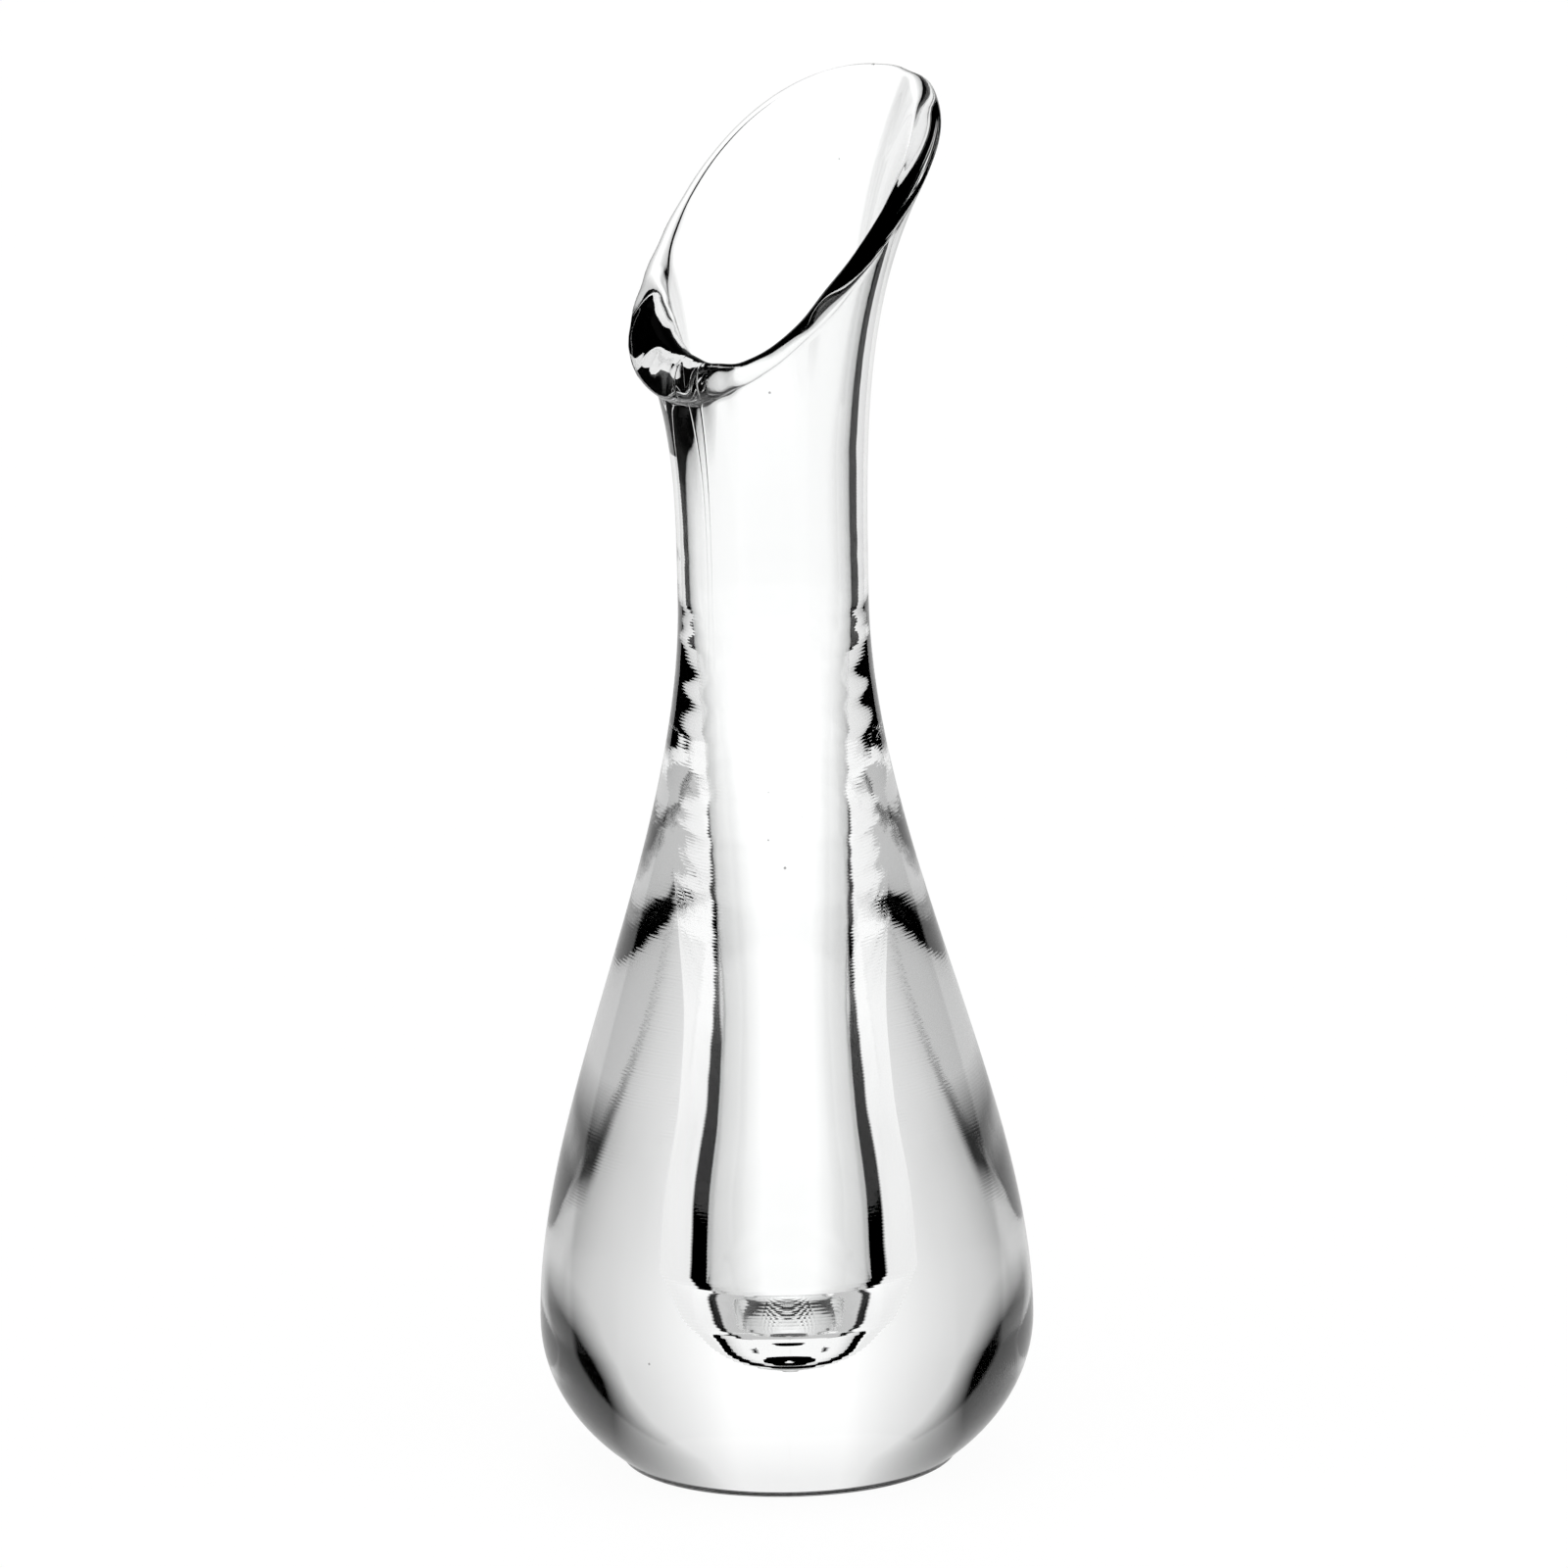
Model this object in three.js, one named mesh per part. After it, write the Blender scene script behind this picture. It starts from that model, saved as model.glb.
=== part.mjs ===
// Clear teardrop vase with a slant lip, moulded in one piece.
// Millimetres, +Z up. The origin is the centre of the flat foot, on the axis of the bore.
// The lip dips towards -Y, the front, and rises towards +Y, the back.
import * as THREE from "three";

// Foot and heel: the base is a solid ellipsoid that the flat foot cuts off below
const FOOT_EDGE = 1.0;
const HEEL_DEPTH = 34.0;

// Belly, the widest ring, and neck, the narrowest, with the straight run that each one holds
const BELLY_RADIUS = 44.5;
const BELLY_HEIGHT = 25.8;
const BELLY_RUN = 39.5;
const NECK_RADIUS = 17.0;
const NECK_HEIGHT = 158.0;
const NECK_RUN = 45.0;

// Lip, measured on the middle line of its rounded edge
const LIP_RADIUS = 23.9;
const LIP_SHIFT = 4.7;
const LIP_STRETCH = 0.83;
const LIP_CORNERS = 0.74;
const LIP_HEIGHT = 220.5;
const LIP_SLANT = 45.7;
const LIP_DIP = 0.5;
const LIP_WAVE = 0.97;
const LIP_FLARE = 3.3;

// Thickness of the rounded edge all the way round, as finished by hand
const EDGE_BACK = 1.6;
const EDGE_BACK_RIGHT = 5.4;
const EDGE_RIGHT = 4.1;
const EDGE_FRONT_RIGHT = 3.9;
const EDGE_FRONT = 7.3;
const EDGE_FRONT_LEFT = 7.8;
const EDGE_LEFT = 3.0;
const EDGE_BACK_LEFT = 1.6;

// How far the rounded edge reaches round underneath, in degrees: most in front
const UNDERCUT_BACK = 10.0;
const UNDERCUT_FRONT = 70.0;

// Bore, narrowest at its waist and rounded at its floor
const BORE_NECK_RADIUS = 14.4;
const BORE_WAIST_RADIUS = 12.05;
const BORE_WAIST_HEIGHT = 81.0;
const BORE_RADIUS = 15.2;
const BORE_WIDE_HEIGHT = 42.0;
const BORE_FLOOR = 19.2;
const BORE_FLOOR_RISE = 15.4;
const BORE_FLOOR_ROUND = 2.4;

// How finely the surface is divided
const SIDES = 48;
const HEEL_STEPS = 6;
const TAPER_STEPS = 14;
const FLARE_STEPS = 8;
const EDGE_STEPS = 8;
const UPPER_BORE_STEPS = 4;
const LOWER_BORE_STEPS = 6;
const FLOOR_STEPS = 7;

const glass = new THREE.MeshStandardMaterial({
  color: 0xf4f7f7,
  roughness: 0.03,
  metalness: 0,
  transparent: true,
  opacity: 0.35,
});

// Numbers from 0 to 1 in even steps, without the first
function steps(count) {
  return Array.from({ length: count }, (_, i) => (i + 1) / count);
}

// Outside of the solid base, from the foot centre up to the belly
function heelProfile() {
  const heelAngle = (z) => Math.acos((BELLY_HEIGHT - z) / HEEL_DEPTH);
  const start = heelAngle(FOOT_EDGE);
  const end = heelAngle(BELLY_HEIGHT);
  const onHeel = (angle) =>
    new THREE.Vector2(BELLY_RADIUS * Math.sin(angle), BELLY_HEIGHT - HEEL_DEPTH * Math.cos(angle));
  const footRadius = onHeel(start).x - FOOT_EDGE;
  const profile = [new THREE.Vector2(footRadius, 0), onHeel(start)];
  for (const t of steps(HEEL_STEPS)) {
    profile.push(onHeel(THREE.MathUtils.lerp(start, end, t)));
  }
  return profile;
}

// Outside of the taper, from the belly up to the neck
function taperProfile() {
  const curve = new THREE.CubicBezierCurve(
    new THREE.Vector2(BELLY_RADIUS, BELLY_HEIGHT),
    new THREE.Vector2(BELLY_RADIUS, BELLY_HEIGHT + BELLY_RUN),
    new THREE.Vector2(NECK_RADIUS, NECK_HEIGHT - NECK_RUN),
    new THREE.Vector2(NECK_RADIUS, NECK_HEIGHT),
  );
  return steps(TAPER_STEPS).map((t) => curve.getPoint(t));
}

// Thickness of the lip's edge at this angle, eased between the eight sides it is given for
function edgeThickness(angle) {
  const sides = [
    EDGE_BACK,
    EDGE_BACK_RIGHT,
    EDGE_RIGHT,
    EDGE_FRONT_RIGHT,
    EDGE_FRONT,
    EDGE_FRONT_LEFT,
    EDGE_LEFT,
    EDGE_BACK_LEFT,
  ];
  const place = (angle / (2 * Math.PI)) * sides.length;
  const before = Math.floor(place) % sides.length;
  const after = (before + 1) % sides.length;
  const ease = (1 - Math.cos(Math.PI * (place - Math.floor(place)))) / 2;
  return THREE.MathUtils.lerp(sides[before], sides[after], ease);
}

// Where the middle line of the lip's edge passes at this angle from the back, and its thickness
function lipAt(angle) {
  const ring = LIP_RADIUS + LIP_SHIFT * Math.cos(angle);
  const radius = ring + LIP_STRETCH * Math.cos(2 * angle) - LIP_CORNERS * Math.cos(3 * angle);
  const slope = Math.tan(THREE.MathUtils.degToRad(LIP_SLANT));
  const uneven = LIP_DIP * Math.cos(2 * angle) - LIP_WAVE * Math.cos(3 * angle);
  const height = LIP_HEIGHT + slope * radius * Math.cos(angle) + uneven;
  const lean = Math.atan((LIP_FLARE * (radius - NECK_RADIUS)) / (height - NECK_HEIGHT));
  const front = (1 - Math.cos(angle)) / 2;
  const undercut = THREE.MathUtils.lerp(UNDERCUT_BACK, UNDERCUT_FRONT, front);
  return { middle: new THREE.Vector2(radius, height), thickness: edgeThickness(angle), lean, undercut };
}

// The rounded edge of the lip, from under its outer side over the top to its inner side
function edgeProfile({ middle, thickness, lean, undercut }) {
  const half = thickness / 2;
  const outwards = new THREE.Vector2(Math.cos(lean), -Math.sin(lean)).multiplyScalar(half);
  const upwards = new THREE.Vector2(Math.sin(lean), Math.cos(lean)).multiplyScalar(half);
  const start = -THREE.MathUtils.degToRad(undercut);
  return [0, ...steps(EDGE_STEPS)].map((t) => {
    const turn = THREE.MathUtils.lerp(start, Math.PI, t);
    return middle
      .clone()
      .addScaledVector(outwards, Math.cos(turn))
      .addScaledVector(upwards, Math.sin(turn));
  });
}

// A wall that leaves the neck upright and opens out to a point on the lip
function flareProfile(neckRadius, lipPoint) {
  return steps(FLARE_STEPS).map(
    (t) =>
      new THREE.Vector2(
        THREE.MathUtils.lerp(neckRadius, lipPoint.x, t ** LIP_FLARE),
        THREE.MathUtils.lerp(NECK_HEIGHT, lipPoint.y, t),
      ),
  );
}

// Wall of the bore from the neck down past its waist, then the rounded floor down to its middle
function boreProfile() {
  const { lerp } = THREE.MathUtils;
  const rim = BORE_FLOOR + BORE_FLOOR_RISE;
  const upper = [0, ...steps(UPPER_BORE_STEPS)].map(
    (t) =>
      new THREE.Vector2(
        lerp(BORE_NECK_RADIUS, BORE_WAIST_RADIUS, t),
        lerp(NECK_HEIGHT, BORE_WAIST_HEIGHT, t),
      ),
  );
  const lower = steps(LOWER_BORE_STEPS).map(
    (t) =>
      new THREE.Vector2(
        lerp(BORE_WAIST_RADIUS, BORE_RADIUS, (1 - Math.cos(Math.PI * t)) / 2),
        lerp(BORE_WAIST_HEIGHT, BORE_WIDE_HEIGHT, t),
      ),
  );
  const floor = [0, ...steps(FLOOR_STEPS)].slice(0, -1).map((t) => {
    const angle = (Math.PI / 2) * t;
    const power = 2 / BORE_FLOOR_ROUND;
    return new THREE.Vector2(
      BORE_RADIUS * Math.cos(angle) ** power,
      rim - BORE_FLOOR_RISE * Math.sin(angle) ** power,
    );
  });
  return [...upper, ...lower, ...floor];
}

// The whole section at one angle, from the foot's edge round to the last ring of the bore floor
function sectionAt(angle) {
  const edge = edgeProfile(lipAt(angle));
  const outerFlare = flareProfile(NECK_RADIUS, edge[0]).slice(0, -1);
  const innerFlare = flareProfile(BORE_NECK_RADIUS, edge[EDGE_STEPS]).slice(0, -1).reverse();
  return [...heelProfile(), ...taperProfile(), ...outerFlare, ...edge, ...innerFlare, ...boreProfile()];
}

// Sections all the way round, joined by triangles and closed at the foot and at the bore floor
function vaseGeometry() {
  const sections = Array.from({ length: SIDES }, (_, i) => sectionAt((2 * Math.PI * i) / SIDES));
  const rings = sections[0].length;
  const positions = [];
  sections.forEach((section, i) => {
    const angle = (2 * Math.PI * i) / SIDES;
    for (const { x: radius, y: height } of section) {
      positions.push(radius * Math.sin(angle), radius * Math.cos(angle), height);
    }
  });
  const footCentre = SIDES * rings;
  const floorCentre = footCentre + 1;
  positions.push(0, 0, 0, 0, 0, BORE_FLOOR);

  const triangles = [];
  for (let i = 0; i < SIDES; i += 1) {
    const here = i * rings;
    const next = ((i + 1) % SIDES) * rings;
    triangles.push(footCentre, here, next);
    for (let k = 0; k < rings - 1; k += 1) {
      triangles.push(here + k, here + k + 1, next + k);
      triangles.push(next + k, here + k + 1, next + k + 1);
    }
    triangles.push(floorCentre, next + rings - 1, here + rings - 1);
  }

  const geometry = new THREE.BufferGeometry();
  geometry.setAttribute("position", new THREE.Float32BufferAttribute(positions, 3));
  geometry.setIndex(triangles);
  geometry.computeVertexNormals();
  return geometry;
}

const vaseBody = new THREE.Mesh(vaseGeometry(), glass);
vaseBody.name = "vase_body";

const vase = new THREE.Group();
vase.add(vaseBody);

export default vase;
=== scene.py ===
import math
import bpy
from mathutils import Matrix, Vector


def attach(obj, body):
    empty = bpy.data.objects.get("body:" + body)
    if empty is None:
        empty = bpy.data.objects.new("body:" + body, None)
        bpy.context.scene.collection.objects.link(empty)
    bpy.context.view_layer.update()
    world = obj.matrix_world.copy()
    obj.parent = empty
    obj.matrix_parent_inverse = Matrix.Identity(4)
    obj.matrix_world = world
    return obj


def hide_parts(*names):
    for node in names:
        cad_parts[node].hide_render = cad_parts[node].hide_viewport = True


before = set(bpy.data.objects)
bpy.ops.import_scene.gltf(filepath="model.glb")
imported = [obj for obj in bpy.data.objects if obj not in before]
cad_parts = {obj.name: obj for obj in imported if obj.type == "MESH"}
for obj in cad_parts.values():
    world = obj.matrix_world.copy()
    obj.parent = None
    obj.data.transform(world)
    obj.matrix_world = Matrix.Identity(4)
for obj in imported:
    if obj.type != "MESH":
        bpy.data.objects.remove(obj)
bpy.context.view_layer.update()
mm = 0.001

print("stage 1: camera")

view = {
    "azimuth": 43.0,      # degrees round from the front, towards the right
    "elevation": 13.0,
    "distance": 2.0,
    "aim": (0.0, 0.0, 0.125),
    "tilt": 1.1,          # the camera leaned a little
    "pixel": 0.175,       # millimetres of the vase to one pixel of the 1600 wide frame
    "axisColumn": 792.5,  # where the axis and the foot centre show in the frame
    "footRow": 1480.0,
}


def addCamera():
    azimuth, elevation = math.radians(view["azimuth"]), math.radians(view["elevation"])
    level = math.cos(elevation)
    back = Vector((math.sin(azimuth) * level, -math.cos(azimuth) * level, math.sin(elevation)))
    place = Matrix.Translation(Vector(view["aim"]) + back * view["distance"])
    turn = back.to_track_quat("Z", "Y").to_matrix().to_4x4()
    data = bpy.data.cameras.new("photoCamera")
    camera = bpy.data.objects.new("photoCamera", data)
    bpy.context.scene.collection.objects.link(camera)
    camera.matrix_world = place @ turn @ Matrix.Rotation(-math.radians(view["tilt"]), 4, "Z")
    data.sensor_width = 36
    data.lens = 36 * view["distance"] / (1600 * view["pixel"] * mm)
    data.clip_end = 50
    foot = camera.matrix_world.inverted() @ Vector((0, 0, 0))
    footRow = 800 + foot.y / foot.z * data.lens / 36 * 1600
    data.shift_x = (800 - view["axisColumn"]) / 1600
    data.shift_y = (view["footRow"] - footRow) / 1600
    bpy.context.scene.camera = camera


addCamera()

print("stage 2: vase shape")

# All sizes in millimetres. The heel and the belly come from the outline in the photograph,
# and the taper and the neck are a curve that a program fitted to points of that outline.
# The lip's ring and most of its edge, the bore and its floor hold numbers from fitting
# programs that worked against the photograph, so they are not measurements.
vase = {
    "sides": 192,
    "footEdge": 1.0,
    "heelDepth": 34.0,
    "bellyRadius": 44.5,
    "bellyHeight": 25.8,
    "bellyRun": 39.5,
    "neckRadius": 17.0,
    "neckHeight": 158.0,
    "neckRun": 45.0,
    "lipRadius": 23.9,
    "lipHeight": 220.5,
    "lipSlant": 45.7,
    "lipFlare": 3.3,
    # how the lip departs from a flat round ring: waves round it, with the cosine and sine share of each
    "lipRound": [(1, 4.7, -0.41), (2, 0.83, 0.5), (3, -0.74, 0.7)],
    "lipRise": [(2, 0.5, 0.0), (3, -0.97, -0.42)],
    # thickness of the rounded edge every 15 degrees round from the back
    "edge": [1.6, 2.4, 4.9, 5.4, 4.9, 4.2, 4.1, 4.7, 3.8, 3.9, 4.3, 5.9,
             7.3, 8.2, 8.1, 7.8, 6.8, 4.9, 3.0, 1.9, 1.6, 1.5, 1.5, 1.5],
    # how far the rounded edge reaches round underneath, in degrees, at the same places
    "undercut": [20, 10, 0, 0, 0, 5, 20, 40, 55, 65, 75, 75, 75, 75, 75, 75, 75, 75, 75, 70, 60, 45, 30, 25],
    "beadTall": 1.4,     # the edge at the front left is a taller bead, leaned this many degrees
    "beadTurn": 45.0,
    # radius of the bore at each height, down to where its floor begins
    "bore": [(158.0, 14.4), (135.0, 13.5), (113.0, 12.9), (93.0, 12.36), (81.0, 12.05), (69.0, 12.5),
             (61.0, 13.05), (54.0, 13.85), (47.0, 14.6), (40.0, 15.0), (34.6, 15.2)],
    # the floor of the bore: share of the last radius, and height
    "floor": [(0.975, 33.7), (0.94, 32.1), (0.89, 29.8), (0.82, 26.9), (0.72, 25.1), (0.58, 22.5),
              (0.38, 20.6), (0.0, 19.2)],
    # how far the bore wanders sideways, at each height
    "wander": [(0.0, 0.26), (40.0, 0.3), (60.0, 0.46), (80.0, 0.5), (100.0, 0.4), (130.0, 0.0), (158.0, -0.3),
               (185.0, -0.5), (215.0, 0.0), (260.0, 0.0)],
}


def mix(a, b, t):
    return a + (b - a) * t


def between(table, at):
    # straight steps through a table of pairs that rises
    if at <= table[0][0]:
        return table[0][1]
    for (x0, y0), (x1, y1) in zip(table, table[1:]):
        if at <= x1:
            return mix(y0, y1, (at - x0) / (x1 - x0))
    return table[-1][1]


def smoothThrough(points):
    # slopes for a curve without kinks through points that rise, its ends left straight
    xs = [x for x, y in points]
    ys = [y for x, y in points]
    gaps = [b - a for a, b in zip(xs, xs[1:])]
    rises = [(b - a) / gap for a, b, gap in zip(ys, ys[1:], gaps)]
    lower, diagonal, right = [0.0], [1.0], [0.0]
    upper = [0.0]
    for i in range(1, len(xs) - 1):
        lower.append(gaps[i - 1])
        diagonal.append(2 * (gaps[i - 1] + gaps[i]))
        upper.append(gaps[i])
        right.append(6 * (rises[i] - rises[i - 1]))
    lower.append(0.0)
    diagonal.append(1.0)
    upper.append(0.0)
    right.append(0.0)
    for i in range(1, len(xs)):
        share = lower[i] / diagonal[i - 1]
        diagonal[i] -= share * upper[i - 1]
        right[i] -= share * right[i - 1]
    bends = [0.0] * len(xs)
    bends[-1] = right[-1] / diagonal[-1]
    for i in range(len(xs) - 2, -1, -1):
        bends[i] = (right[i] - upper[i] * bends[i + 1]) / diagonal[i]

    def at(x):
        i = 0
        while i < len(gaps) - 1 and x > xs[i + 1]:
            i += 1
        gap, after, before = gaps[i], xs[i + 1] - x, x - xs[i]
        bend = (bends[i] * after ** 3 + bends[i + 1] * before ** 3) / (6 * gap)
        low = (ys[i] / gap - bends[i] * gap / 6) * after
        high = (ys[i + 1] / gap - bends[i + 1] * gap / 6) * before
        return bend + low + high

    return at


boreAt = smoothThrough(sorted(vase["bore"]))


def footAndHeel():
    v = vase
    lift = math.acos((v["bellyHeight"] - v["footEdge"]) / v["heelDepth"])
    footRadius = v["bellyRadius"] * math.sin(lift) - v["footEdge"]
    points = [(footRadius * t, 0.0) for t in (0.0, 0.05, 0.15, 0.3, 0.5, 0.7, 0.85, 0.94, 1.0)]
    for i in range(1, 8):
        a = math.pi / 2 * i / 8
        points.append((footRadius + v["footEdge"] * math.sin(a), v["footEdge"] * (1 - math.cos(a))))
    for i in range(31):
        a = mix(lift, math.pi / 2, i / 30)
        points.append((v["bellyRadius"] * math.sin(a), v["bellyHeight"] - v["heelDepth"] * math.cos(a)))
    return points


def taper():
    v = vase
    points = []
    for i in range(1, 101):
        t = i / 100
        ends = [(v["bellyRadius"], v["bellyHeight"]), (v["bellyRadius"], v["bellyHeight"] + v["bellyRun"]),
                (v["neckRadius"], v["neckHeight"] - v["neckRun"]), (v["neckRadius"], v["neckHeight"])]
        weights = [(1 - t) ** 3, 3 * (1 - t) ** 2 * t, 3 * (1 - t) * t * t, t ** 3]
        points.append(tuple(sum(w * p[k] for w, p in zip(weights, ends)) for k in (0, 1)))
    return points


def waves(table, angle):
    return sum(c * math.cos(n * angle) + d * math.sin(n * angle) for n, c, d in table)


def lipEdge(angle):
    v = vase
    radius = v["lipRadius"] + waves(v["lipRound"], angle)
    slope = math.tan(math.radians(v["lipSlant"]))
    height = v["lipHeight"] + slope * radius * math.cos(angle) + waves(v["lipRise"], angle)
    lean = math.atan(v["lipFlare"] * (radius - v["neckRadius"]) / (height - v["neckHeight"]))
    place = angle / (2 * math.pi) * 24
    before = int(place) % 24
    ease = (1 - math.cos(math.pi * (place - int(place)))) / 2
    half = mix(v["edge"][before], v["edge"][(before + 1) % 24], ease) / 2
    start = -math.radians(mix(v["undercut"][before], v["undercut"][(before + 1) % 24], ease))
    front = max(0.0, -math.cos(angle - math.radians(45))) ** 2
    tall = mix(1.0, v["beadTall"], front)
    roll = math.radians(v["beadTurn"]) * front
    points = []
    for i in range(21):
        turn = mix(start, math.pi, i / 20)
        across, along = half * math.cos(turn - roll), half * tall * math.sin(turn - roll)
        out = across * math.cos(roll) - along * math.sin(roll)
        up = across * math.sin(roll) + along * math.cos(roll)
        points.append((radius + out * math.cos(lean) + up * math.sin(lean),
                       height - out * math.sin(lean) + up * math.cos(lean)))
    return points


def flare(neckRadius, end):
    v = vase
    shares = [i / 36 for i in range(1, 36)]
    return [(mix(neckRadius, end[0], t ** v["lipFlare"]), mix(v["neckHeight"], end[1], t)) for t in shares]


def boreWall():
    v = vase
    low = v["bore"][-1][0]
    heights = [mix(v["neckHeight"], low, i / 90) for i in range(91)]
    return [(boreAt(height), height) for height in heights]


def boreFloor():
    # a curve through the floor's points that goes on from the wall
    v = vase
    wall = boreWall()
    radius = v["bore"][-1][1]
    marks = [wall[-2], wall[-1]] + [(radius * share, height) for share, height in v["floor"]]
    marks.append((-marks[-2][0], marks[-2][1]))
    points = []
    for i in range(1, len(marks) - 2):
        a, b, c, d = marks[i - 1:i + 3]
        if i == 1:
            a = (b[0] * 2 - c[0], b[1] * 2 - c[1])
        for t in (0.25, 0.5, 0.75, 1.0):
            point = []
            for k in (0, 1):
                squared = (2 * a[k] - 5 * b[k] + 4 * c[k] - d[k]) * t * t
                cubed = (3 * b[k] - a[k] - 3 * c[k] + d[k]) * t ** 3
                point.append(0.5 * (2 * b[k] + (c[k] - a[k]) * t + squared + cubed))
            points.append((max(point[0], 0.0), point[1]))
    return points


def section(angle):
    edge = lipEdge(angle)
    outer = footAndHeel() + taper() + flare(vase["neckRadius"], edge[0]) + edge
    inner = flare(vase["bore"][0][1], edge[-1])[::-1] + boreWall() + boreFloor()
    return outer + inner, len(outer)


def buildVase():
    start, outerCount = section(0.0)
    bpy.ops.object.select_all(action="DESELECT")
    bpy.ops.mesh.primitive_plane_add(size=0.01, location=(0, 0, 0))
    vaseGlass = bpy.context.object
    vaseGlass.name = "vaseGlass"
    bpy.ops.object.mode_set(mode="EDIT")
    bpy.ops.mesh.merge(type="CENTER")
    # the section is drawn from the middle of the foot round to the middle of the bore's floor
    for here, there in zip(start, start[1:]):
        step = ((there[0] - here[0]) * mm, 0, (there[1] - here[1]) * mm)
        bpy.ops.mesh.extrude_region_move(TRANSFORM_OT_translate={"value": step})
    bpy.ops.object.mode_set(mode="OBJECT")
    station = vaseGlass.data.attributes.new("station", "INT", "POINT")
    station.data.foreach_set("value", list(range(len(start))))
    bpy.ops.object.mode_set(mode="EDIT")
    bpy.ops.mesh.select_all(action="SELECT")
    bpy.ops.mesh.spin(steps=vase["sides"], angle=2 * math.pi, center=(0, 0, 0), axis=(0, 0, 1))
    bpy.ops.mesh.select_all(action="SELECT")
    bpy.ops.mesh.remove_doubles(threshold=0.000001)
    bpy.ops.mesh.normals_make_consistent(inside=False)
    bpy.ops.object.mode_set(mode="OBJECT")
    easeRound(vaseGlass, outerCount)
    bpy.ops.object.shade_smooth()
    return vaseGlass


def easeRound(vaseGlass, outerCount):
    # every point of the spun section moves to the section at its own angle
    sides = vase["sides"]
    sections = [section(2 * math.pi * i / sides)[0] for i in range(sides)]
    azimuth = math.radians(view["azimuth"])
    sideways = Vector((math.cos(azimuth), math.sin(azimuth), 0))
    stations = vaseGlass.data.attributes["station"].data
    for vertex in vaseGlass.data.vertices:
        k = stations[vertex.index].value
        angle = math.atan2(vertex.co.x, vertex.co.y)
        i = round(angle / (2 * math.pi) * sides) % sides
        radius, height = sections[i][k]
        angle = 2 * math.pi * i / sides
        vertex.co = Vector((radius * math.sin(angle), radius * math.cos(angle), height)) * mm
        if k >= outerCount:
            vertex.co += sideways * between(vase["wander"], height) * mm
    vaseGlass.data.update()


vaseGlass = buildVase()
print("vase faces", len(vaseGlass.data.polygons))

print("stage 3: glass")


def addNode(tree, kind, **settings):
    node = tree.nodes.new(kind)
    for name, value in settings.items():
        setattr(node, name, value)
    return node


def maths(tree, operation, first, second=0.0, third=None):
    node = addNode(tree, "ShaderNodeMath", operation=operation)
    for socket, value in zip(node.inputs, (first, second, third)):
        if isinstance(value, bpy.types.NodeSocket):
            tree.links.new(value, socket)
        elif value is not None:
            socket.default_value = value
    return node.outputs[0]


def ramp(tree, value, low, high, atLow, atHigh):
    node = addNode(tree, "ShaderNodeMapRange")
    node.inputs["From Min"].default_value = low
    node.inputs["From Max"].default_value = high
    node.inputs["To Min"].default_value = atLow
    node.inputs["To Max"].default_value = atHigh
    tree.links.new(value, node.inputs["Value"])
    return node.outputs[0]


def vectorMaths(tree, operation, first, second=None, scale=None):
    node = addNode(tree, "ShaderNodeVectorMath", operation=operation)
    for socket, value in ((node.inputs[0], first), (node.inputs[1], second), (node.inputs.get("Scale"), scale)):
        if isinstance(value, bpy.types.NodeSocket):
            tree.links.new(value, socket)
        elif value is not None:
            socket.default_value = value
    return node.outputs[0]


def newGroup(name, inputs, outputs):
    tree = bpy.data.node_groups.new(name, "ShaderNodeTree")
    for title, kind in inputs:
        tree.interface.new_socket(name=title, in_out="INPUT", socket_type=kind)
    for title, kind in outputs:
        tree.interface.new_socket(name=title, in_out="OUTPUT", socket_type=kind)
    return tree, addNode(tree, "NodeGroupInput"), addNode(tree, "NodeGroupOutput")


# Small departures of the surface from true, and the glass colours, one of them a painted shade for where the glass
# is seen on edge.
# Slopes are shares of one, the rest millimetres. A pair is where a mark begins and where it is full, or where it
# starts to fade and is gone.
finishAndEdgeShade = {
    "fineRise": (20, 40),
    "fineFade": (175, 200),
    "rollRise": (96, 112),
    "rollFade": (155, 185),
    "seamFront": (146, 180),
    "seamBack": (226, 240),
    "ringInner": (2.6, 3.6),
    "ringOuter": (5.0, 6.5),
    "floorLow": (10, 12),
    "floorHigh": (26, 28),
    "finePitch": 0.6,        # fine rings round the body, left by the mould
    "fineSlope": 0.012,
    "rollLength": 5.5,       # slow waves up the taper and the neck
    "rollSlope": 0.09,
    "seamHalf": 0.16,        # raised seam where the two mould halves met
    "seamSlope": 0.5,
    "ringPitch": 0.75,       # turning marks on the floor of the bore
    "ringSlope": 0.12,
    "bubbleSpacing": 9.0,
    "bubbleRadius": 0.34,
    "clear": (0.997, 0.999, 0.998, 1.0),
    "thick": (0.985, 0.992, 0.99, 1.0),
    "bubble": (0.2, 0.2, 0.2, 1.0),
    # painted shade: the grey that the glass colour turns to where the glass is seen on edge
    "edge": (0.66, 0.68, 0.68, 1.0),
}


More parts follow.
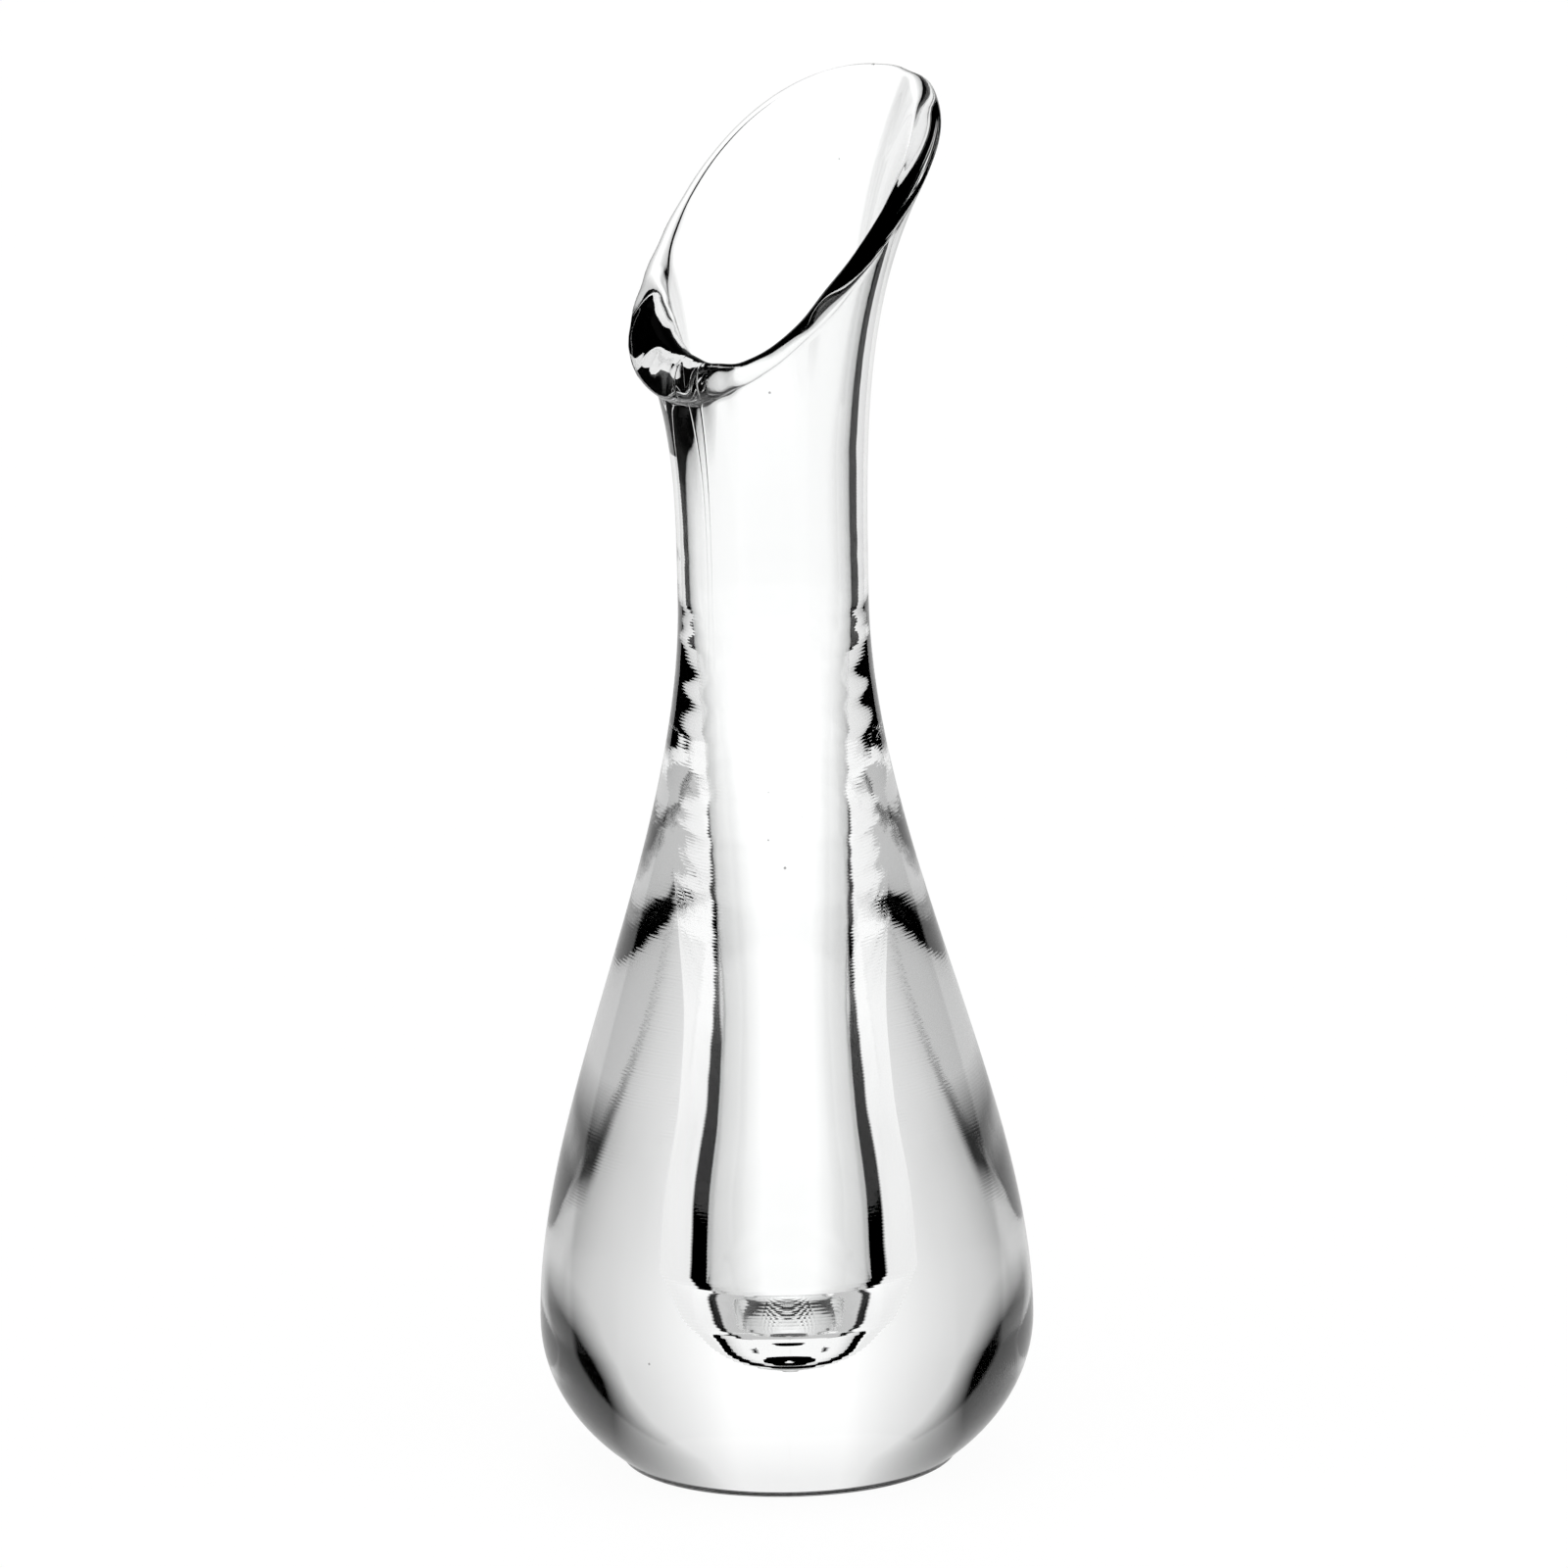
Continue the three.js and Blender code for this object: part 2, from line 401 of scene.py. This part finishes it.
def surfaceWaves():
    f = finishAndEdgeShade
    tree, given, result = newGroup("surfaceWaves", [("Position", "NodeSocketVector")],
                                   [("Normal", "NodeSocketVector")])
    place = vectorMaths(tree, "SCALE", given.outputs["Position"], scale=1000.0)
    split = addNode(tree, "ShaderNodeSeparateXYZ")
    tree.links.new(place, split.inputs[0])
    x, y, z = split.outputs
    squares = maths(tree, "ADD", maths(tree, "MULTIPLY", x, x), maths(tree, "MULTIPLY", y, y))
    radius = maths(tree, "SQRT", squares)

    # fine rings, a little uneven
    drift = addNode(tree, "ShaderNodeTexNoise")
    drift.inputs["Scale"].default_value = 0.06
    tree.links.new(place, drift.inputs["Vector"])
    even = maths(tree, "MULTIPLY", z, 2 * math.pi / f["finePitch"])
    phase = maths(tree, "MULTIPLY_ADD", drift.outputs[0], 9.0, even)
    fine = maths(tree, "MULTIPLY", maths(tree, "SINE", phase), f["fineSlope"])
    fine = maths(tree, "MULTIPLY", fine, ramp(tree, z, *f["fineRise"], 0, 1))
    fine = maths(tree, "MULTIPLY", fine, ramp(tree, z, *f["fineFade"], 1, 0))

    # slow waves
    slow = addNode(tree, "ShaderNodeTexNoise", noise_dimensions="1D")
    slow.inputs["Scale"].default_value = 1 / f["rollLength"]
    slow.inputs["Detail"].default_value = 1.0
    tree.links.new(z, slow.inputs["W"])
    roll = maths(tree, "MULTIPLY", maths(tree, "SUBTRACT", slow.outputs[0], 0.5), 2 * f["rollSlope"])
    roll = maths(tree, "MULTIPLY", roll, ramp(tree, z, *f["rollRise"], 0, 1))
    roll = maths(tree, "MULTIPLY", roll, ramp(tree, z, *f["rollFade"], 1, 0.1))
    rise = maths(tree, "ADD", fine, roll)

    # seam down the front, and down the back of the lip
    across = maths(tree, "DIVIDE", x, f["seamHalf"])
    seam = maths(tree, "EXPONENT", maths(tree, "MULTIPLY", maths(tree, "MULTIPLY", across, across), -1.0))
    seam = maths(tree, "MULTIPLY", maths(tree, "MULTIPLY", seam, across), f["seamSlope"])
    front = maths(tree, "MULTIPLY", maths(tree, "LESS_THAN", y, 0.0), ramp(tree, z, *f["seamFront"], 0, 1))
    behind = maths(tree, "MULTIPLY", maths(tree, "GREATER_THAN", y, 0.0), ramp(tree, z, *f["seamBack"], 0, 1))
    seam = maths(tree, "MULTIPLY", seam, maths(tree, "ADD", front, behind))

    # turning marks in the middle of the bore's floor
    ring = maths(tree, "SINE", maths(tree, "MULTIPLY", radius, 2 * math.pi / f["ringPitch"]))
    for value, inner, outer in ((radius, "ringInner", "ringOuter"), (z, "floorLow", "floorHigh")):
        within = maths(tree, "MULTIPLY", ramp(tree, value, *f[inner], 0, 1), ramp(tree, value, *f[outer], 1, 0))
        ring = maths(tree, "MULTIPLY", ring, within)
    ring = maths(tree, "MULTIPLY", ring, f["ringSlope"])
    ring = maths(tree, "DIVIDE", ring, maths(tree, "MAXIMUM", radius, 0.5))

    shift = addNode(tree, "ShaderNodeCombineXYZ")
    tree.links.new(maths(tree, "MULTIPLY_ADD", ring, x, seam), shift.inputs[0])
    tree.links.new(maths(tree, "MULTIPLY", ring, y), shift.inputs[1])
    tree.links.new(rise, shift.inputs[2])
    surface = addNode(tree, "ShaderNodeNewGeometry")
    bent = vectorMaths(tree, "ADD", surface.outputs["Normal"], shift.outputs[0])
    tree.links.new(vectorMaths(tree, "NORMALIZE", bent), result.inputs["Normal"])
    return tree


def glassFlaws():
    f = finishAndEdgeShade
    tree, given, result = newGroup("glassFlaws", [("Position", "NodeSocketVector")],
                                   [("Tint", "NodeSocketColor"), ("Roughness", "NodeSocketFloat")])
    place = vectorMaths(tree, "SCALE", given.outputs["Position"], scale=1000.0)

    # faint change of tint through the melt
    melt = addNode(tree, "ShaderNodeTexNoise")
    melt.inputs["Scale"].default_value = 0.05
    tree.links.new(place, melt.inputs["Vector"])
    tint = addNode(tree, "ShaderNodeMix", data_type="RGBA")
    tree.links.new(melt.outputs[0], tint.inputs[0])
    tint.inputs[6].default_value = f["clear"]
    tint.inputs[7].default_value = f["thick"]

    # a few tiny bubbles just under the surface
    cells = addNode(tree, "ShaderNodeTexVoronoi")
    cells.inputs["Scale"].default_value = 1 / f["bubbleSpacing"]
    tree.links.new(place, cells.inputs["Vector"])
    pick = addNode(tree, "ShaderNodeSeparateColor")
    tree.links.new(cells.outputs["Color"], pick.inputs[0])
    share = f["bubbleRadius"] / f["bubbleSpacing"]
    size = maths(tree, "MULTIPLY", ramp(tree, pick.outputs[0], 0.5, 1.0, 0, 1), share)
    bubble = maths(tree, "LESS_THAN", cells.outputs["Distance"], size)
    dotted = addNode(tree, "ShaderNodeMix", data_type="RGBA")
    tree.links.new(bubble, dotted.inputs[0])
    tree.links.new(tint.outputs[2], dotted.inputs[6])
    dotted.inputs[7].default_value = f["bubble"]
    tree.links.new(dotted.outputs[2], result.inputs["Tint"])

    # light wear: short scratches round the heel
    wear = addNode(tree, "ShaderNodeTexNoise")
    wear.inputs["Scale"].default_value = 1.0
    wear.inputs["Detail"].default_value = 0.0
    tree.links.new(vectorMaths(tree, "MULTIPLY", place, (0.16, 0.16, 2.4)), wear.inputs["Vector"])
    scratch = maths(tree, "COMPARE", wear.outputs[0], 0.64, 0.004)
    split = addNode(tree, "ShaderNodeSeparateXYZ")
    tree.links.new(place, split.inputs[0])
    scratch = maths(tree, "MULTIPLY", scratch, ramp(tree, split.outputs[2], 2, 26, 0.25, 0))
    tree.links.new(scratch, result.inputs["Roughness"])
    return tree


def clearGlass():
    material = bpy.data.materials.new("clearGlass")
    material.use_nodes = True
    tree = material.node_tree
    tree.nodes.clear()
    place = addNode(tree, "ShaderNodeTexCoord").outputs["Object"]
    rippled = addNode(tree, "ShaderNodeGroup", node_tree=surfaceWaves())
    flaws = addNode(tree, "ShaderNodeGroup", node_tree=glassFlaws())
    tree.links.new(place, rippled.inputs["Position"])
    tree.links.new(place, flaws.inputs["Position"])
    # painted shade: the glass colour turns grey where it is seen on edge, so its edges look darker
    facing = addNode(tree, "ShaderNodeLayerWeight")
    facing.inputs["Blend"].default_value = 0.5
    paintedEdgeShade = ramp(tree, facing.outputs["Facing"], 0.86, 1.0, 0, 1)
    colour = addNode(tree, "ShaderNodeMix", data_type="RGBA")
    tree.links.new(paintedEdgeShade, colour.inputs[0])
    tree.links.new(flaws.outputs["Tint"], colour.inputs[6])
    colour.inputs[7].default_value = finishAndEdgeShade["edge"]
    shader = addNode(tree, "ShaderNodeBsdfPrincipled")
    shader.inputs["IOR"].default_value = 1.52
    shader.inputs["Metallic"].default_value = 0.0
    shader.inputs["Transmission Weight"].default_value = 1.0
    tree.links.new(colour.outputs[2], shader.inputs["Base Color"])
    tree.links.new(flaws.outputs["Roughness"], shader.inputs["Roughness"])
    tree.links.new(rippled.outputs["Normal"], shader.inputs["Normal"])
    output = addNode(tree, "ShaderNodeOutputMaterial")
    tree.links.new(shader.outputs[0], output.inputs["Surface"])
    return material


vaseGlass.data.materials.append(clearGlass())
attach(vaseGlass, "root")
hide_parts("vase_body")

print("stage 4: studio")

# Angles in degrees, all measured round from the direction that the camera looks in.
# A white sheet stands behind the vase over a white table, between dark screens, and the rest
# of the room is grey below and dark above. The screens draw the black lines in the glass.
# It is a made-up studio: what the glass mirrors and what shows straight through it have two
# patterns, which no real one would, and the levels were set against the photograph.
studio = {
    "level": 1.2,
    # for what the glass mirrors: where the sheet ends and where the screens end, at each height
    "sheetEnd": [(-90, 180), (-64, 180), (-57, 68), (-36, 68), (-25, 66), (-15, 62), (-5, 55),
                 (5, 46), (15, 40), (30, 34), (90, 30)],
    "screenEnd": [(-90, 60), (-57, 72), (-38, 82), (-30, 92), (-10, 95), (90, 95)],
    "sheetLight": [(-90, 0.88), (-40, 0.86), (-25, 0.77), (-10, 0.77), (0, 0.75), (10, 0.62), (20, 0.45),
                   (28, 0.2), (40, 0.03), (90, 0.02)],
    "middle": [(0, 0.8), (9, 0.7), (17, 0.1), (24, 0.0), (180, 0.0)],
    "middleHeight": [(-90, 0.0), (-7, 0.0), (1, 1.0), (90, 1.0)],
    # where the grey of the room ends, at each side
    "roomTop": [(0, -2), (90, -2), (120, -3), (135, -9), (150, -20), (180, -22)],
    "roomLight": 0.5,
    "sideBlur": 2.2,
    "topBlur": 8.0,
    # for what shows straight through it
    "sheetFall": [(0, 1.0), (10, 1.0), (14, 0.91), (18, 0.83), (24, 0.74), (30, 0.67), (42, 0.6), (50, 0.52),
                  (56, 0.46), (62, 0.56), (75, 0.62), (100, 0.85), (180, 0.95)],
    "heightFall": [(-90, 1.0), (-15, 0.98), (0, 0.95), (15, 0.9), (25, 0.78), (90, 0.75)],
    "screen": [(-90, 90), (-16, 74), (-10, 59), (-5, 50), (1, 43), (10, 36.3), (16, 32.5), (22, 29),
               (30, 26), (90, 20)],
    "screenBlur": [(-90, 20), (-10, 16), (1, 7), (10, 4.5), (16, 6.5), (22, 13), (90, 13)],
    "screenDark": [(-90, 0.0), (-20, 0.0), (-12, 0.6), (-2, 1.0), (40, 1.0), (70, 0.0), (90, 0.0)],
    "screenBack": 74.0,
    "foot": [(0, 0.0), (52, 0.0), (55, 0.4), (58, 0.95), (70, 0.95), (78, 0.0), (180, 0.0)],
    "footHeight": [(-90, 0.0), (-62, 0.0), (-48, 1.0), (-33, 1.0), (-28, 0.0), (90, 0.0)],
    # how much of what it mirrors the outside of the glass shows
    "outside": 0.8,
}


def tableNode(tree, value, low, high, table, scale=1.0):
    # a table of pairs as a curve: the first of each pair between low and high, the second over scale
    place = ramp(tree, value, math.radians(low), math.radians(high), 0, 1)
    node = addNode(tree, "ShaderNodeValToRGB")
    stops = node.color_ramp.elements
    while len(stops) > 1:
        stops.remove(stops[-1])
    for i, (angle, amount) in enumerate(table):
        at = (angle - low) / (high - low)
        stop = stops[0] if i == 0 else stops.new(at)
        stop.position = at
        grey = amount / scale
        stop.color = (grey, grey, grey, 1)
    tree.links.new(place, node.inputs["Fac"])
    return node.outputs["Color"]


def studioWorld():
    world = bpy.data.worlds.new("studio")
    bpy.context.scene.world = world
    world.use_nodes = True
    tree = world.node_tree
    tree.nodes.clear()
    azimuth = math.radians(view["azimuth"])
    direction = addNode(tree, "ShaderNodeTexCoord").outputs["Generated"]
    parts = []
    for axis in ((-math.sin(azimuth), math.cos(azimuth), 0), (math.cos(azimuth), math.sin(azimuth), 0), (0, 0, 1)):
        dot = addNode(tree, "ShaderNodeVectorMath", operation="DOT_PRODUCT")
        dot.inputs[1].default_value = axis
        tree.links.new(direction, dot.inputs[0])
        parts.append(dot.outputs["Value"])
    away, right, up = parts
    side = maths(tree, "ABSOLUTE", maths(tree, "ARCTAN2", right, away))
    height = maths(tree, "ARCSINE", up)

    def atSide(name, scale=1.0):
        return tableNode(tree, side, 0, 180, studio[name], scale)

    def atHeight(name, scale=1.0):
        return tableNode(tree, height, -90, 90, studio[name], scale)

    # what the glass mirrors
    sideBlur, topBlur = math.radians(studio["sideBlur"]), math.radians(studio["topBlur"])
    sheetEnd = maths(tree, "MULTIPLY", atHeight("sheetEnd", 180), math.pi)
    screenEnd = maths(tree, "MULTIPLY", atHeight("screenEnd", 180), math.pi)
    roomTop = maths(tree, "MULTIPLY", atSide("roomTop", -90), -math.pi / 2)
    sheet = ramp(tree, maths(tree, "SUBTRACT", side, sheetEnd), -sideBlur, sideBlur, 1, 0)
    sheet = maths(tree, "MULTIPLY", sheet, atHeight("sheetLight"))
    middle = maths(tree, "MULTIPLY", atSide("middle"), atHeight("middleHeight"))
    sheet = maths(tree, "MULTIPLY", sheet, maths(tree, "SUBTRACT", 1.0, middle))
    room = ramp(tree, maths(tree, "SUBTRACT", side, screenEnd), -sideBlur, sideBlur, 0, studio["roomLight"])
    above = maths(tree, "SUBTRACT", height, roomTop)
    room = maths(tree, "MULTIPLY", room, ramp(tree, above, -topBlur, topBlur, 1, 0))
    mirrored = maths(tree, "MAXIMUM", sheet, room)

    # what shows straight through it
    bright = maths(tree, "MULTIPLY", atSide("sheetFall"), atHeight("heightFall"))
    past = maths(tree, "SUBTRACT", side, maths(tree, "MULTIPLY", atHeight("screen", 90), math.pi / 2))
    past = maths(tree, "DIVIDE", past, maths(tree, "MULTIPLY", atHeight("screenBlur", 90), math.pi))
    screen = maths(tree, "MULTIPLY", ramp(tree, past, -0.5, 0.5, 0, 1), atHeight("screenDark"))
    back = math.radians(studio["screenBack"])
    screen = maths(tree, "MULTIPLY", screen, ramp(tree, side, back - 0.1, back + 0.1, 1, 0))
    foot = maths(tree, "MULTIPLY", atSide("foot"), atHeight("footHeight"))
    through = maths(tree, "MULTIPLY", bright, maths(tree, "SUBTRACT", 1.0, maths(tree, "MAXIMUM", screen, foot)))

    path = addNode(tree, "ShaderNodeLightPath")
    inside = maths(tree, "GREATER_THAN", path.outputs["Transmission Depth"], 0.5)
    share = maths(tree, "MULTIPLY_ADD", inside, 1 - studio["outside"], studio["outside"])
    mirrored = maths(tree, "MULTIPLY", mirrored, share)
    straight = maths(tree, "LESS_THAN", path.outputs["Glossy Depth"], 0.5)
    level = addNode(tree, "ShaderNodeMix")
    tree.links.new(straight, level.inputs["Factor"])
    tree.links.new(mirrored, level.inputs["A"])
    tree.links.new(through, level.inputs["B"])
    seen = addNode(tree, "ShaderNodeMix")
    tree.links.new(path.outputs["Is Camera Ray"], seen.inputs["Factor"])
    tree.links.new(maths(tree, "MULTIPLY", level.outputs["Result"], studio["level"]), seen.inputs["A"])
    seen.inputs["B"].default_value = 1.0
    background = addNode(tree, "ShaderNodeBackground")
    background.inputs["Color"].default_value = (1, 1, 1, 1)
    tree.links.new(seen.outputs["Result"], background.inputs["Strength"])
    output = addNode(tree, "ShaderNodeOutputWorld")
    tree.links.new(background.outputs[0], output.inputs["Surface"])


# Black cards stand beside the lip and behind it, out of the picture, and darken its edges.
# Only light that the glass mirrored inside meets them; what shows straight through stays clear.
# Millimetres, from one end to the other: to the side of the axis, along the view and upwards.
cards = {
    "left": ((-75.0, -75.0), (-90.0, 80.0), (120.0, 400.0)),
    "right": ((75.0, 75.0), (-90.0, 80.0), (120.0, 400.0)),
    "behind": ((-60.0, -24.0), (60.0, 60.0), (182.0, 240.0)),
}


def blackCards():
    azimuth = math.radians(view["azimuth"])
    material = bpy.data.materials.new("blackCard")
    material.use_nodes = True
    tree = material.node_tree
    tree.nodes.clear()
    path = addNode(tree, "ShaderNodeLightPath")
    paint = addNode(tree, "ShaderNodeBsdfDiffuse")
    paint.inputs["Color"].default_value = (0.01, 0.01, 0.01, 1)
    clear = addNode(tree, "ShaderNodeBsdfTransparent")
    choose = addNode(tree, "ShaderNodeMixShader")
    tree.links.new(maths(tree, "GREATER_THAN", path.outputs["Glossy Depth"], 0.5), choose.inputs["Fac"])
    tree.links.new(clear.outputs[0], choose.inputs[1])
    tree.links.new(paint.outputs[0], choose.inputs[2])
    output = addNode(tree, "ShaderNodeOutputMaterial")
    tree.links.new(choose.outputs[0], output.inputs["Surface"])
    for name, (across, along, up) in cards.items():
        bpy.ops.object.select_all(action="DESELECT")
        bpy.ops.mesh.primitive_plane_add(size=1)
        card = bpy.context.object
        card.name = name + "Card"
        for vertex, (end, level) in zip(card.data.vertices, [(0, 0), (1, 0), (0, 1), (1, 1)]):
            x = across[end] * math.cos(azimuth) - along[end] * math.sin(azimuth)
            y = across[end] * math.sin(azimuth) + along[end] * math.cos(azimuth)
            vertex.co = Vector((x, y, up[level])) * mm
        card.data.materials.append(material)
        card.visible_camera = False
        card.visible_diffuse = False
        card.visible_shadow = False


def whiteTable():
    bpy.ops.object.select_all(action="DESELECT")
    bpy.ops.mesh.primitive_plane_add(size=6, location=(0, 0, -0.0002))
    table = bpy.context.object
    table.name = "whiteTable"
    bpy.ops.object.transform_apply(location=True, rotation=True, scale=True)
    material = bpy.data.materials.new("whiteTable")
    material.use_nodes = True
    tree = material.node_tree
    tree.nodes.clear()
    path = addNode(tree, "ShaderNodeLightPath")
    glow = addNode(tree, "ShaderNodeEmission")
    glow.inputs["Strength"].default_value = 0.94
    paper = addNode(tree, "ShaderNodeBsdfDiffuse")
    paper.inputs["Color"].default_value = (0.1, 0.1, 0.1, 1)
    lit = addNode(tree, "ShaderNodeAddShader")
    tree.links.new(glow.outputs[0], lit.inputs[0])
    tree.links.new(paper.outputs[0], lit.inputs[1])
    clear = addNode(tree, "ShaderNodeBsdfTransparent")
    choose = addNode(tree, "ShaderNodeMixShader")
    tree.links.new(path.outputs["Is Camera Ray"], choose.inputs["Fac"])
    tree.links.new(clear.outputs[0], choose.inputs[1])
    tree.links.new(lit.outputs[0], choose.inputs[2])
    output = addNode(tree, "ShaderNodeOutputMaterial")
    tree.links.new(choose.outputs[0], output.inputs["Surface"])
    table.data.materials.append(material)


studioWorld()
blackCards()
whiteTable()
bpy.context.scene.view_settings.view_transform = "Standard"
